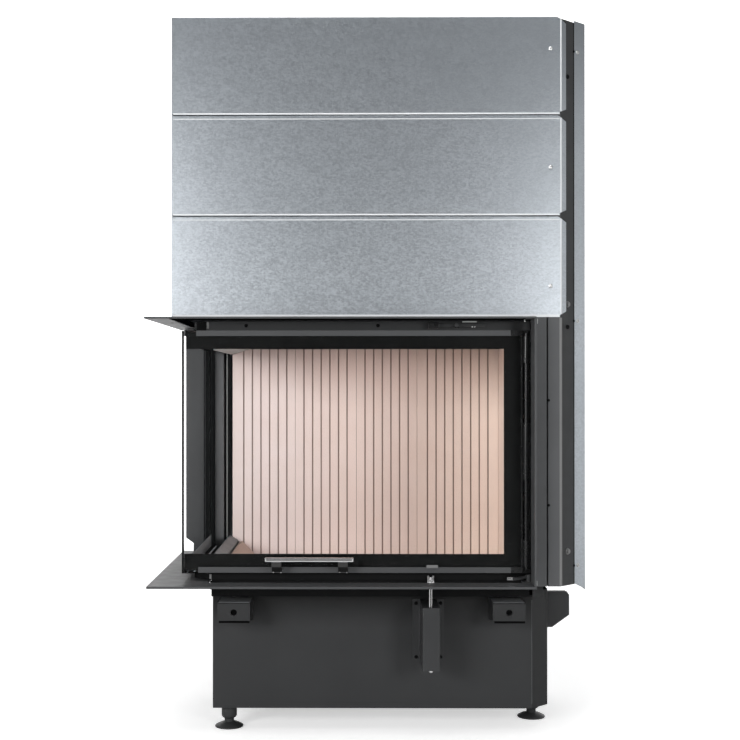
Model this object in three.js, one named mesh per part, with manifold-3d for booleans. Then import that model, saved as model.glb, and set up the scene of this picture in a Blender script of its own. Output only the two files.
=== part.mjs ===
// Built-in corner fireplace insert with a lifting door, glazed at the front and on the left.
// Millimetres. x to the right, y to the back, z up; the origin is on the floor under the middle.
import * as THREE from "three";
import { mergeVertices } from "three/addons/utils/BufferGeometryUtils.js";
import Module from "manifold-3d";

const manifold = await Module();
manifold.setup();

// ---- driving dimensions -------------------------------------------------------------------
const WIDTH = 863.7; // trim plate's left edge to right side cover
const DEPTH = 650.6; // trim plate's front edge to rear column
const HEIGHT = 1428; // floor to upper edge of the covers
const X0 = -WIDTH / 2;
const Y0 = -DEPTH / 2;

const TRIM = 54; // width of the trim plates round the opening
const TRIM_END = X0 + 752.2; // right end of the trim plates
const TRIM_LEG = 117.2; // the lower plate's left leg, which reaches in under the door
const TRIM_LEG_HIGH = 46; // the upper plate's left leg, flush with the cover
const TRIM_LOW = [318, 322.4]; // z of the lower trim plate
const TRIM_HIGH = [836.2, 840]; // z of the upper trim plate
const GLASS = { x0: X0 + 68.1, x1: X0 + 731.1, y0: Y0 + 68, y1: Y0 + 518, t: 4 };
const LEAF_Z = [338.5, 816]; // z of the door leaf
const COVER_X = X0 + 47; // plane of the left cover
const COVER_Y = Y0 + 48; // plane of the front cover
const COVER_Z = [840.4, 1039, 1236, HEIGHT]; // joints between the cover sheets
const SHEET = 1.2; // galvanised sheet
const STEEL = 3; // folded dark steel

const BASE = { x0: X0 + 112.7, x1: X0 + 804.7, y0: Y0 + 181, y1: Y0 + 560, z0: 46, z1: 285, cut: 37.5 };
const BODY = { x0: X0 + 117.7, x1: X0 + 780.7, y0: Y0 + 111, y1: Y0 + 567, z0: 286, z1: 1000 };
const LINING = 28; // thickness of the fireclay
const REAR_FACE = Y0 + 530; // front of the rear lining
const RIGHT_FACE = X0 + 737.3; // face of the right lining
const SEAMS = [X0 + 121.1, X0 + 266.9, X0 + 408.6, X0 + 549.2, RIGHT_FACE]; // rear lining plates
const GROOVES = { pitch: 20, width: 3, depth: 3, z0: 300 };
const FIRST_GROOVE = [26, 20, 20, 24]; // from the left edge of each rear plate
const FLUE = { x: X0 + 470, y: Y0 + 330, r: 90, z1: 1120 };
const AIR = { x: X0 + 560, z: 165, r: 62.5 };

const PIVOT = { x: X0 + 741.7, y: Y0 + 70 }; // upright hinge of the leaf
const BEAM = [Y0 + 84, Y0 + 100]; // door frame beams, front to back
const BEAM_CUT = 27; // cut across their corner
const FEET = {
  foot_front_left: [X0 + 143.7, Y0 + 215],
  foot_front_right: [BASE.x1 - 23.5, Y0 + 298],
  foot_rear_left: [X0 + 143.7, Y0 + 525],
  foot_rear_right: [BASE.x1 - 22, Y0 + 525],
};
const ROD = { x: X0 + 554, y: Y0 + 78 }; // pull rod of the air control
const LEVER = { x: X0 + 746.5, y: Y0 + 76 }; // hub of the lever on the lower trim plate
const PULLEY = { x: X0 + 781.9, y: Y0 + 97, z: 1375, r: 40 };
const WEIGHT = { x: [X0 + 806, X0 + 838], y: [Y0 + 93, Y0 + 170], z: [880, 1270] };

// ---- shapes -------------------------------------------------------------------------------
const solidOf = (geometry) => {
  const bare = new THREE.BufferGeometry();
  const flat = geometry.index ? geometry.toNonIndexed() : geometry;
  bare.setAttribute("position", flat.getAttribute("position"));
  const merged = mergeVertices(bare, 1e-4);
  return new manifold.Manifold(
    new manifold.Mesh({
      numProp: 3,
      vertProperties: merged.attributes.position.array,
      triVerts: new Uint32Array(merged.index.array),
    }),
  );
};

const geometryOf = (solid) => {
  const mesh = solid.getMesh();
  const positions = new Float32Array(mesh.numVert * 3);
  for (let i = 0; i < mesh.numVert; i++)
    positions.set(mesh.vertProperties.subarray(i * mesh.numProp, i * mesh.numProp + 3), i * 3);
  const g = new THREE.BufferGeometry();
  g.setAttribute("position", new THREE.BufferAttribute(positions, 3));
  g.setIndex(new THREE.BufferAttribute(new Uint32Array(mesh.triVerts), 1));
  return g.toNonIndexed();
};

const join = (...parts) => geometryOf(parts.map(solidOf).reduce((a, b) => a.add(b)));
const cut = (part, ...tools) =>
  geometryOf(tools.map(solidOf).reduce((a, b) => a.subtract(b), solidOf(part)));

// A box by its limits.
const box = ([xa, xb], [ya, yb], [za, zb]) =>
  new THREE.BoxGeometry(xb - xa, yb - ya, zb - za).translate((xa + xb) / 2, (ya + yb) / 2, (za + zb) / 2);

const shapeOf = (points, holes = []) => {
  const shape = new THREE.Shape(points.map(([a, b]) => new THREE.Vector2(a, b)));
  for (const [a, b, r] of holes) {
    const hole = new THREE.Path();
    hole.absarc(a, b, r, 0, 2 * Math.PI, true);
    shape.holes.push(hole);
  }
  return shape;
};

// An outline in the plane across one axis, stretched along it from a to b.
const BASES = {
  x: [[0, 1, 0], [0, 0, 1], [1, 0, 0]],
  y: [[1, 0, 0], [0, 0, 1], [0, -1, 0]],
  z: [[1, 0, 0], [0, 1, 0], [0, 0, 1]],
};
const along = (axis, points, a, b, holes = [], segments = 10) => {
  const g = new THREE.ExtrudeGeometry(shapeOf(points, holes), {
    depth: b - a,
    bevelEnabled: false,
    curveSegments: segments,
  });
  const [u, v, w] = BASES[axis].map((e) => new THREE.Vector3(...e));
  g.applyMatrix4(new THREE.Matrix4().makeBasis(u, v, w));
  const start = axis === "y" ? b : a;
  return g.translate(...w.clone().multiplyScalar(w.dot(w.clone().set(1, 1, 1)) * start).toArray());
};

// A round bar between two points.
const bar = (from, to, r, segments = 14) => {
  const a = new THREE.Vector3(...from);
  const d = new THREE.Vector3(...to).sub(a);
  const g = new THREE.CylinderGeometry(r, r, d.length(), segments);
  g.translate(0, d.length() / 2, 0);
  g.applyQuaternion(new THREE.Quaternion().setFromUnitVectors(new THREE.Vector3(0, 1, 0), d.normalize()));
  return g.translate(a.x, a.y, a.z);
};

// A turned shape about an upright line, from pairs of radius and height.
const turned = (profile, x, y, segments = 24) =>
  new THREE.LatheGeometry(profile.map(([r, z]) => new THREE.Vector2(r, z)), segments)
    .rotateX(Math.PI / 2)
    .translate(x, y, 0);

// Rounds the inner corners of an open line.
const softened = (points, radius, steps = 3) => {
  const out = [points[0]];
  for (let i = 1; i < points.length - 1; i++) {
    const p = new THREE.Vector2(...points[i]);
    const u = new THREE.Vector2(...points[i - 1]).sub(p);
    const v = new THREE.Vector2(...points[i + 1]).sub(p);
    const reach = Math.min(radius, 0.45 * u.length(), 0.45 * v.length());
    const a = p.clone().addScaledVector(u.normalize(), reach);
    const b = p.clone().addScaledVector(v.normalize(), reach);
    for (let k = 0; k <= steps; k++) {
      const t = k / steps;
      const q = a.clone().multiplyScalar((1 - t) ** 2);
      q.addScaledVector(p, 2 * t * (1 - t)).addScaledVector(b, t * t);
      out.push([q.x, q.y]);
    }
  }
  out.push(points[points.length - 1]);
  return out;
};

// The outline of a folded sheet: an open line and its copy one thickness to the left of it.
const folded = (points, thickness, radius = 3) => {
  const line = softened(points, radius).map((p) => new THREE.Vector2(...p));
  const side = line.map((p, i) => {
    const before = i > 0 ? p.clone().sub(line[i - 1]).normalize() : null;
    const after = i < line.length - 1 ? line[i + 1].clone().sub(p).normalize() : null;
    const d = (before || after).clone().add(after || before).normalize();
    const n = new THREE.Vector2(-d.y, d.x);
    const reach = thickness / n.dot(new THREE.Vector2(-(after || before).y, (after || before).x));
    return p.clone().addScaledVector(n, reach);
  });
  return [...line, ...side.reverse()].map((p) => [p.x, p.y]);
};

// A front and a left bar cut on the diagonal through a corner, each kept back from it by a gap.
const mitred = (front, left, [x, y], gap) => {
  const far = 900;
  const half = (points) => solidOf(along("z", points, 0, HEIGHT));
  const keep = [
    half([[x - far + gap, y - far - gap], [x + far, y - far - gap], [x + far, y + far - 2 * gap]]),
    half([[x - far - gap, y - far + gap], [x + far - 2 * gap, y + far], [x - far - gap, y + far]]),
  ];
  return [front, left].map((g, i) => geometryOf(solidOf(g).intersect(keep[i])));
};

// The rear column is the right one mirrored about the diagonal through the glass corner.
const toRear = ([x, y]) => [COVER_X + (y - COVER_Y), GLASS.y1 + (x - GLASS.x1)];
const mirrored = (geometry) => {
  const g = geometry.index ? geometry.toNonIndexed() : geometry.clone();
  const p = g.getAttribute("position");
  for (let i = 0; i < p.count; i++) {
    const [x, y] = toRear([p.getX(i), p.getY(i)]);
    p.setXYZ(i, x, y, p.getZ(i));
  }
  for (let i = 0; i < p.count; i += 3) {
    const [a, b] = [1, 2].map((k) => [p.getX(i + k), p.getY(i + k), p.getZ(i + k)]);
    p.setXYZ(i + 1, ...b);
    p.setXYZ(i + 2, ...a);
  }
  return g;
};

// ---- the assembly -------------------------------------------------------------------------
const insert = new THREE.Group();
insert.name = "corner_fireplace_insert";
const COLORS = {
  steel: 0x35363a, galvanised: 0xa4abb3, fireclay: 0xdcb9a4, glass: 0x9fb4bd,
  stainless: 0xc8ccd0, dark_stone: 0x8f7c6e,
};
const add = (name, color, geometry) => {
  const mesh = new THREE.Mesh(
    geometry,
    new THREE.MeshStandardMaterial({
      color: COLORS[color],
      metalness: color === "steel" || color === "galvanised" || color === "stainless" ? 0.8 : 0,
      roughness: color === "glass" ? 0.05 : 0.5,
      transparent: color === "glass",
      opacity: color === "glass" ? 0.35 : 1,
    }),
  );
  mesh.name = name;
  insert.add(mesh);
};

// Base box: a front sheet folded round the cut corner, two sides with lower lips, and a rear sheet.
{
  const { x0, x1, y0, y1, z0, z1, cut: corner } = BASE;
  const front = [[x1, y0 + corner + 12], [x1, y0 + corner], [x1 - corner, y0], [x0, y0], [x0, y0 + 9]];
  add("base_front", "steel", along("z", folded(front.reverse(), STEEL), z0, z1));
  const lip = (x, inward) =>
    folded([[x, z1], [x, z0], [x + inward * 62, z0]], inward * STEEL);
  const ways = Object.values(FEET).map(([x, y]) => bar([x, y, z0 - 5], [x, y, z0 + 9], 6.6, 16));
  add("base_left", "steel", cut(along("y", lip(x0, 1), y0 + 10, y1 - 3.5), ways[0], ways[2]));
  add("base_right", "steel", cut(along("y", lip(x1, -1), y0 + corner + 13, y1 - 3.5), ways[1], ways[3]));
  // Rear sheet with the collar of the combustion air supply.
  const sheet = along("y", [[x0, z0], [x1, z0], [x1, z1], [x0, z1]], y1 - STEEL, y1, [[AIR.x, AIR.z, AIR.r - 2]], 8);
  const collar = turned([[AIR.r - 2, 0], [AIR.r, 0], [AIR.r, 45], [AIR.r - 2, 45], [AIR.r - 2, 0]], 0, 0, 32)
    .rotateX(-Math.PI / 2)
    .translate(AIR.x, y1 - STEEL, AIR.z);
  add("base_rear", "steel", join(sheet, collar));
}

// Support brackets on the base: two box-shaped ones in front, an angular one on the right side.
for (const [name, x] of [["bracket_left", X0 + 131], ["bracket_right", X0 + 678.7]]) {
  const [ya, yb] = [Y0 + 98, BASE.y0 - 0.3];
  const hood = folded([[yb, 275], [ya, 275], [ya, 240]], STEEL, 4);
  const cheek = (xa) => along("x", [[ya + 1, 240], [yb, 228], [yb, 273.5], [ya + 1, 273.5]], xa, xa + STEEL);
  const body = join(along("x", hood, x, x + 65), cheek(x), cheek(x + 65 - STEEL));
  add(name, "steel", cut(body, bar([x + 32.5, ya - 5, 256], [x + 32.5, ya + 12, 256], 6.5, 20)));
}
{
  const xs = BASE.x1 + 0.3;
  const outline = [[xs, 200], [xs + 14, 200], [xs + 50, 226], [xs + 50, 268], [xs + 45, 275], [xs, 275]];
  const web = along("y", outline, Y0 + 250, Y0 + 256);
  const shelf = box([xs, xs + 44], [Y0 + 250, Y0 + 266], [270, 275]);
  add("side_bracket", "steel", join(web, shelf));
}

// Housing of the air control on the base front: a folded channel with screw flanges.
{
  const [xa, xb, yf, yb] = [X0 + 537.7, X0 + 572.2, Y0 + 70, BASE.y0 - 0.3];
  const back = yb - 2;
  const wall = folded([[xa - 15, back], [xa, back], [xa, yf], [xb, yf], [xb, back], [xb + 15, back]], 2, 2.5);
  const shell = along("z", wall, 146, 270);
  const cap = (za) => box([xa + 1, xb - 1], [yf + 1, yb], [za, za + 2]);
  const way = bar([ROD.x, ROD.y, 262], [ROD.x, ROD.y, 280], 5, 16);
  add("damper_housing", "steel", join(shell, cut(cap(268), way), cap(146)));
}

// Firebox of welded steel sheets: a tray, walls, lintels over the openings, and a roof with the flue collar.
{
  const { x0, x1, y0, y1, z0, z1 } = BODY;
  const floor = box([x0, x1], [y0, y1], [z0, z0 + 4]);
  const front = box([x0, X0 + 753], [y0, y0 + STEEL], [z0, 334]);
  const left = box([x0, x0 + STEEL], [y0, y1], [z0, 334]);
  add("firebox_tray", "steel", join(floor, front, left));
  const up = z0 + 4.3;
  add("firebox_right", "steel", box([x1 - STEEL, x1], [y0 + 3.4, y1], [up, z1]));
  add("firebox_rear", "steel", box([x0 + 3.4, x1 - 3.4], [y1 - STEEL, y1], [up, z1]));
  const lintel = (a, b) => folded([[b + 22, 818], [b, 818], [b, z1]], -a * STEEL, 3);
  const [overFront, overLeft] = mitred(
    along("x", lintel(1, y0), x0, x1 - 3.4), along("y", lintel(1, x0), y0, y1 - 3.4), [x0, y0], 0.2,
  );
  add("lintel_front", "steel", overFront);
  add("lintel_left", "steel", overLeft);
  const roof = along("z", [[x0, y0], [x1, y0], [x1, y1], [x0, y1]], z1 + 0.3, z1 + 4.3, [[FLUE.x, FLUE.y, FLUE.r - 3]], 12);
  const r = FLUE.r;
  const collar = turned(
    [[r - 3, z1 + 0.3], [r + 22, z1 + 0.3], [r + 22, z1 + 12], [r, z1 + 60], [r, FLUE.z1], [r - 3, FLUE.z1], [r - 3, z1 + 0.3]],
    FLUE.x, FLUE.y, 48,
  );
  add("firebox_roof", "steel", join(roof, collar));
}

// Trim plates round the opening.
{
  const inner = Y0 + 543;
  const ell = (x, leg, ...tab) => [
    [x, Y0], [TRIM_END, Y0], ...tab, [X0 + leg, Y0 + TRIM], [X0 + leg, inner], [x, inner],
  ];
  // The lower plate's left leg runs in under the door, and a tab at its right end carries the lever's hub.
  const tab = [[TRIM_END, Y0 + 90], [X0 + 734, Y0 + 90], [X0 + 734, Y0 + TRIM]];
  const hub = [[LEVER.x, LEVER.y, 5.3]];
  add("trim_lower", "steel", along("z", ell(X0 + 4.6, TRIM_LEG, ...tab), ...TRIM_LOW, hub, 8));
  add("trim_upper", "steel", along("z", ell(X0, TRIM_LEG_HIGH, [TRIM_END, Y0 + TRIM]), ...TRIM_HIGH));
  const [foot, head] = [TRIM_LOW[1] + 0.3, TRIM_HIGH[0] - 0.3];
  add("trim_right", "steel", box([TRIM_END - 4, TRIM_END], [Y0, Y0 + TRIM], [foot, head]));
  const end = [[X0 + 12, 353.5], [X0 + 29.5, 341], [X0 + 29.5, foot], [X0 + TRIM, foot], [X0 + TRIM, head], [X0 + 12, head]];
  add("trim_rear", "steel", along("y", end, inner - 4, inner));
}

// Columns with the rope pulleys and counterweights: one on the right, one at the rear of the left side.
{
  const front = Y0 + 50;
  const line = [
    [X0 + 757, Y0 + 110], [X0 + 757, front], [X0 + 778.7, front], [X0 + 778.7, front + 9],
    [X0 + 781, front + 9], [X0 + 781, front], [X0 + 805.4, front], [X0 + 837, front + 31.6],
  ];
  const opening = box([X0 + 756, X0 + 760], [Y0 + 88, Y0 + 112], [PULLEY.z - 50, HEIGHT]);
  const sheet = cut(along("z", folded(line, 2, 1), 316, HEIGHT - 4), opening);
  const arm = box([X0 + 757.5, X0 + 800], [Y0 + 104, Y0 + 108], [PULLEY.z - 75, PULLEY.z + 20]);
  const axle = bar([PULLEY.x, Y0 + 87, PULLEY.z], [PULLEY.x, Y0 + 106, PULLEY.z], 6);
  const column = join(sheet, arm, axle);
  add("column_right", "steel", column);
  add("column_rear", "steel", mirrored(column));

  const wrap = [[X0 + 838.4, front + 33], [X0 + WIDTH, Y0 + 108.4], [X0 + WIDTH, Y0 + 300], [X0 + 783, Y0 + 300]];
  const cover = along("z", folded(wrap, SHEET, 2), 301, HEIGHT);
  // The lower end is cut on the slant.
  const slant = along("x", [[Y0, 290], [Y0 + 113, 290], [Y0 + 113, 301], [Y0 + 60, 330], [Y0, 330]], X0 + 820, X0 + 900);
  const side = cut(cover, slant);
  add("side_cover_right", "galvanised", side);
  add("side_cover_rear", "galvanised", mirrored(side));
}

// Galvanised cover sheets: each is folded back at its upper and lower edge and wraps the cut corner.
{
  const ends = [COVER_X, X0 + 805.4];
  for (let i = 0; i < 3; i++) {
    const [za, zb] = [COVER_Z[i] + 0.6, COVER_Z[i + 1] - 0.6];
    const fold = folded(
      [[COVER_Y + 14, zb], [COVER_Y, zb], [COVER_Y, za], [COVER_Y + 14, za]],
      SHEET, 3,
    );
    // The folds stop short of the column.
    const clear = box([X0 + 755, X0 + 900], [COVER_Y + SHEET + 0.2, COVER_Y + 20], [za - 1, zb + 1]);
    const snip = (z, up) => along("y", [[ends[1] - 7, z], [ends[1] + 1, z], [ends[1] + 1, z + up * 5.5]], COVER_Y - 1, COVER_Y + 3);
    const face = cut(along("x", fold, ends[0], ends[1]), clear, snip(za - 0.1, 1), snip(zb + 0.1, -1));
    const wing = folded([[ends[1] - 8, COVER_Y], [ends[1], COVER_Y], [ends[1] + 13, COVER_Y + 13]], SHEET, 1.5);
    const corners = [
      [COVER_Y - 2, za + 4], [COVER_Y + 1, za + 5], [COVER_Y + 14, za + 12],
      [COVER_Y + 14, zb - 12], [COVER_Y + 1, zb - 5], [COVER_Y - 2, zb - 4],
    ];
    const flank = geometryOf(
      solidOf(along("z", wing, za + 0.6, zb - 0.6)).intersect(solidOf(along("x", corners, ends[1] - 8, ends[1] + 20))),
    );
    add("cover_front_" + (i + 1), "galvanised", join(face, flank));
  }
  const side = folded(
    [[COVER_X + 14, HEIGHT], [COVER_X, HEIGHT], [COVER_X, COVER_Z[0]], [COVER_X + 14, COVER_Z[0]]],
    SHEET, 3,
  );
  const clear = box([COVER_X + SHEET + 0.2, COVER_X + 20], [GLASS.y1 + 24, GLASS.y1 + 80], [800, HEIGHT + 1]);
  add("cover_left", "galvanised", cut(along("y", side, COVER_Y + 15, GLASS.y1 + 74), clear));
}

// Fireclay: four grooved rear plates, the right side, the hearth, and ramp stones inside the two openings.
const stoneZ = [BODY.z0 + 4.6, 792];
for (let i = 0; i < 4; i++) {
  const [xa, xb] = [SEAMS[i] + 0.3, SEAMS[i + 1] - 0.3];
  const plate = box([xa, xb], [REAR_FACE, REAR_FACE + LINING], stoneZ);
  const { pitch, width, depth, z0 } = GROOVES;
  const start = xa + FIRST_GROOVE[i];
  const grooves = [];
  for (let x = start; x < xb - 9; x += pitch)
    grooves.push(box([x - width / 2, x + width / 2], [REAR_FACE - 1, REAR_FACE + depth], [z0, 800]));
  add("lining_rear_" + (i + 1), "fireclay", cut(plate, ...grooves));
}
{
  add("lining_right", "fireclay", box([RIGHT_FACE + 0.3, RIGHT_FACE + LINING], [Y0 + 147.5, REAR_FACE + LINING], stoneZ));
  const run = 53; // of the ramp stones, from their outer edge to the hearth
  const ramp = (o) => [[o, stoneZ[0]], [o, 346.5], [o + 5, 347], [o + run, 299.3], [o + run, stoneZ[0]]];
  const [xi, yi] = [X0 + 139, Y0 + 138.9]; // outer edges of the ramp stones
  const [rampFront, rampLeft] = mitred(
    along("x", ramp(yi), xi - 1, RIGHT_FACE - 0.3), along("y", ramp(xi), yi - 1, REAR_FACE - 0.3), [xi, yi], 0.2,
  );
  add("ramp_front", "fireclay", rampFront);
  add("ramp_left", "fireclay", rampLeft);
  add("hearth", "fireclay", box([xi + run + 0.3, RIGHT_FACE - 0.3], [yi + run + 0.3, REAR_FACE - 0.3], [stoneZ[0], 299]));
  const tray = [[X0 + 132, 796], [RIGHT_FACE + 20, 796], [RIGHT_FACE + 20, 824], [X0 + 174, 824], [X0 + 132, 804]];
  add("baffle", "fireclay", along("y", tray, Y0 + 141, REAR_FACE - 60));

  // Edge rails between the glass and the ramp stones: a sloped lip and an upright behind it.
  const rail = (o) => folded([[o - 28, 355], [o - 25, 361.6], [o - 4, 349.6], [o - 4, stoneZ[0]]], -2.2);
  const alongFront = along("x", rail(yi), xi - 28, X0 + 751);
  const alongLeft = along("y", rail(xi), yi - 28, REAR_FACE - 0.6);
  const [railFront, railLeft] = mitred(alongFront, alongLeft, [xi, yi], 0.2);
  add("edge_rail_front", "steel", railFront);
  add("edge_rail_left", "steel", railLeft);
}

// Sliding door frame: upper and lower beams round the corner, hinge post, rear stile and the side glass.
const toSide = (y) => GLASS.x0 + (y - GLASS.y0);
const beamOutline = ([ya, yb]) => [
  [toSide(ya) + BEAM_CUT, ya], [X0 + 750, ya], [X0 + 750, yb], [toSide(yb) + BEAM_CUT / 2, yb],
  [toSide(yb), yb + BEAM_CUT / 2], [toSide(yb), Y0 + 519.5], [toSide(ya), Y0 + 519.5], [toSide(ya), ya + BEAM_CUT],
];
{
  const sideRail = ([za, zb], lipZ) => join(
    box([GLASS.x0 - 3, GLASS.x0 - 0.5], [Y0 + 96, GLASS.y1], [za, zb]),
    box([GLASS.x0 - 3, GLASS.x0 + 17], [Y0 + 96, GLASS.y1], lipZ),
  );
  add("frame_beam_upper", "steel", join(
    along("z", beamOutline(BEAM), 816.8, 834), sideRail([806.5, 818], [816.5, 819]),
  ));
  add("frame_beam_lower", "steel", join(
    along("z", beamOutline(BEAM), 324, 336.5), sideRail([334, 349.5], [334, 336.5]),
  ));
  const post = box([X0 + 735, X0 + 750], BEAM, [336.8, 816.5]);
  const pin = bar([PIVOT.x, PIVOT.y, 346], [PIVOT.x, PIVOT.y, 810], 4.6, 16);
  const lug = ([za, zb]) => box([PIVOT.x - 4, PIVOT.x + 5], [PIVOT.y, BEAM[0] + 1], [za, zb]);
  add("hinge_post", "steel", join(post, pin, lug([640, 664]), lug([480, 500])));
  add("rear_stile", "steel", box([toSide(Y0 + 82), toSide(Y0 + 102)], [Y0 + 519.9, Y0 + 537], [324, 834]));
  add("side_glass", "glass", box([GLASS.x0, GLASS.x0 + GLASS.t], [GLASS.y0 + GLASS.t + 0.6, GLASS.y1 + 1], [337, 816.2]));
}

// Door leaf: glass, rails along its upper and lower edge, hinge stile and handle.
{
  add("front_glass", "glass", box([GLASS.x0, GLASS.x1], [GLASS.y0, GLASS.y0 + GLASS.t], [343, 813]));
  const ends = [X0 + 96.7, X0 + 722.7];
  const channel = (z, up) => {
    const s = up ? 1 : -1;
    const p = (y, dz) => [GLASS.y0 + y, z + s * dz];
    const outline = [p(-2.8, 0), p(8, 0), p(8, 11), p(4.4, 11), p(4.4, 2.7), p(-0.4, 2.7), p(-0.4, 11), p(-2.8, 11)];
    return up ? outline : outline.reverse();
  };
  add("door_rail_upper", "steel", along("x", channel(LEAF_Z[1], false), ends[0] - 4, ends[1]));
  const catchPlate = box([X0 + 546, X0 + 560], [GLASS.y0 - 5, GLASS.y0 - 0.5], [347, 355]);
  add("door_rail_lower", "steel", join(along("x", channel(340, true), ...ends), catchPlate));
  const stile = join(
    box([X0 + 715, X0 + 734.3], [GLASS.y0 + 4.4, GLASS.y0 + 14], [352, 804]),
    box([X0 + 731.6, X0 + 734.3], [GLASS.y0, GLASS.y0 + 14], [352, 804]),
  );
  const knuckles = [[352, 404], [522, 634], [752, 804]].map(([za, zb]) =>
    join(
      bar([PIVOT.x, PIVOT.y, za], [PIVOT.x, PIVOT.y, zb], 7, 18),
      box([X0 + 733, PIVOT.x], [PIVOT.y + 1, PIVOT.y + 5], [za, zb]),
    ),
  );
  const way = bar([PIVOT.x, PIVOT.y, 340], [PIVOT.x, PIVOT.y, 820], 5, 18);
  add("hinge_stile", "steel", cut(join(stile, ...knuckles), way));
  const grip = box([X0 + 230.3, X0 + 401.5], [Y0 + 28, Y0 + 36], [366.5, 374]);
  const arm = (x) => along(
    "x",
    [[Y0 + 29, 370], [Y0 + 29, 356], [Y0 + 40, 345], [GLASS.y0 - 3.1, 345], [GLASS.y0 - 3.1, 351], [Y0 + 42, 351], [Y0 + 35, 358], [Y0 + 35, 370]],
    x, x + 19,
  );
  add("handle", "stainless", join(grip, arm(X0 + 243), arm(X0 + 372)));
}

// Lock bar that slides on the upper beam, and the stops that hold it.
{
  const [xa, xb] = [X0 + 549.7, X0 + 661.7];
  const rod = box([xa, xb], [BEAM[0] - 6.5, BEAM[0] - 0.5], [823.5, 828.5]);
  const block = box([xa, xa + 19], [BEAM[0] - 9, BEAM[0] - 0.5], [820, 832]);
  const knob = bar([X0 + 604.2, BEAM[0] - 3, 826], [X0 + 604.2, BEAM[0] - 20, 826], 4, 14);
  add("lock_bar", "steel", join(rod, block, knob));
}

// Lever on the lower trim plate, and the pull rod of the air control with its fork.
{
  const { x: hx, y: hy } = LEVER;
  const arc = new THREE.QuadraticBezierCurve3(
    new THREE.Vector3(hx, hy, 331.5),
    new THREE.Vector3(hx - 22, hy - 4, 326.5),
    new THREE.Vector3(hx - 43, hy - 5, 328),
  );
  const round = shapeOf(Array.from({ length: 10 }, (_, k) => {
    const a = (k * Math.PI) / 5;
    return [3.3 * Math.cos(a), 3.3 * Math.sin(a)];
  }));
  const arm = new THREE.ExtrudeGeometry(round, { steps: 12, extrudePath: arc });
  add("air_lever", "steel", join(arm, bar([hx, hy, 319], [hx, hy, 335.5], 5, 16)));

  const { x, y } = ROD;
  const stem = bar([x, y, 255], [x, y, 330], 3.5, 14);
  const fork = [-1, 1].map((s) => box([x + s * 4.8 - 1.7, x + s * 4.8 + 1.7], [y - 4, y + 4], [318, 333]));
  const bridge = box([x - 6.5, x + 6.5], [y - 4, y + 4], [318, 322]);
  add("damper_rod", "stainless", join(stem, ...fork, bridge));
}

// Pulleys, ropes on the door side, and counterweights in both columns.
{
  const { x, y, z, r } = PULLEY;
  const rim = turned(
    [[6.4, -4], [r + 3, -4], [r + 3, -3], [r - 2, -2], [r - 2, 2], [r + 3, 3], [r + 3, 4], [6.4, 4], [6.4, -4]],
    0, 0, 36,
  );
  const wheel = rim.rotateX(Math.PI / 2).translate(x, y, z);
  add("pulley_right", "steel", wheel);
  add("pulley_rear", "steel", mirrored(wheel));
  const rope = bar([x - r + 0.1, y, 834.4], [x - r + 0.1, y, z - 2], 1.6, 8);
  add("rope_right", "stainless", rope);
  add("rope_rear", "stainless", mirrored(rope));
  const block = box(WEIGHT.x, WEIGHT.y, WEIGHT.z);
  add("counterweight_right", "steel", block);
  add("counterweight_rear", "steel", mirrored(block));
}

// Levelling feet: a domed disc, a socket, and a stem that runs up through the base lip.
const FOOT = [
  [0, 0], [28.5, 0], [29.8, 1.5], [29, 3.5], [20, 8], [10, 11], [10, 18], [14, 20], [16, 24], [16, 38],
  [15, 45.5], [6, 45.5], [6, 95], [0, 95],
];
for (const [name, [x, y]] of Object.entries(FEET)) add(name, "steel", turned(FOOT, x, y));

const root = new THREE.Group();
root.name = "part";
root.add(insert);
export default root;
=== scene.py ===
"""A built-in corner fireplace insert with a lifting glazed door, in its studio.

Lengths are in millimetres, as on the object, and MM turns them into the scene's metres.
x runs to the right, y to the back and z up. The origin is on the floor under the middle.
"""
import math

import bpy
from mathutils import Matrix, Vector


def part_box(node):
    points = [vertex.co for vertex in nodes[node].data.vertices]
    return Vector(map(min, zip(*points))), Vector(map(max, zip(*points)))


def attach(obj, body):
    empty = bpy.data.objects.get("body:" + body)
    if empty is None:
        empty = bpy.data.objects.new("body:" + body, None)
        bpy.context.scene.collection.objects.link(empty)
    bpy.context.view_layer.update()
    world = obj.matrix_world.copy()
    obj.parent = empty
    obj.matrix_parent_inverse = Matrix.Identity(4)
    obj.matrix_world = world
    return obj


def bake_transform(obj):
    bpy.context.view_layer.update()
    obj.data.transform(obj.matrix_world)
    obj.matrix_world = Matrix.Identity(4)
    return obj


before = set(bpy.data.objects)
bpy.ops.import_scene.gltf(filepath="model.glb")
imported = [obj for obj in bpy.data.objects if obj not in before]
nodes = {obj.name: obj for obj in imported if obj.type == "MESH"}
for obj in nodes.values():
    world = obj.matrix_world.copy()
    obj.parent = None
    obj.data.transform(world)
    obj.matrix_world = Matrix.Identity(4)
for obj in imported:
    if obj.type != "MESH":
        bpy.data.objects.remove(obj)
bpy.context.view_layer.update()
MM = 0.001


def span(node):
    """A node's lowest and highest corner in millimetres."""
    low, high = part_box(node)
    return low / MM, high / MM


# ---- camera, light and floor ----------------------------------------------------------------
FRAME_WIDTH = 740  # pixels
FOCAL = 1305.6  # focal length in pixels
SENSOR = 36.0
EYE = Vector((-29.5, -2823.6, 708.3))
YAW, PITCH, ROLL = 0.514, 0.153, 0.015  # degrees
ROOM_LIGHT = 0.08  # what the object receives from all round
FLOOR_GLOW = 0.5  # how white the floor is made for the camera alone
WALL_GLOW = 1.0  # the paper wall behind, which only grazing faces reflect
SIDE_GLOW = 0.03  # the paper walls at the sides
OFF_CENTRE = (28.05, 11.74)  # the optical axis, in pixels left of and below the picture's centre

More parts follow.
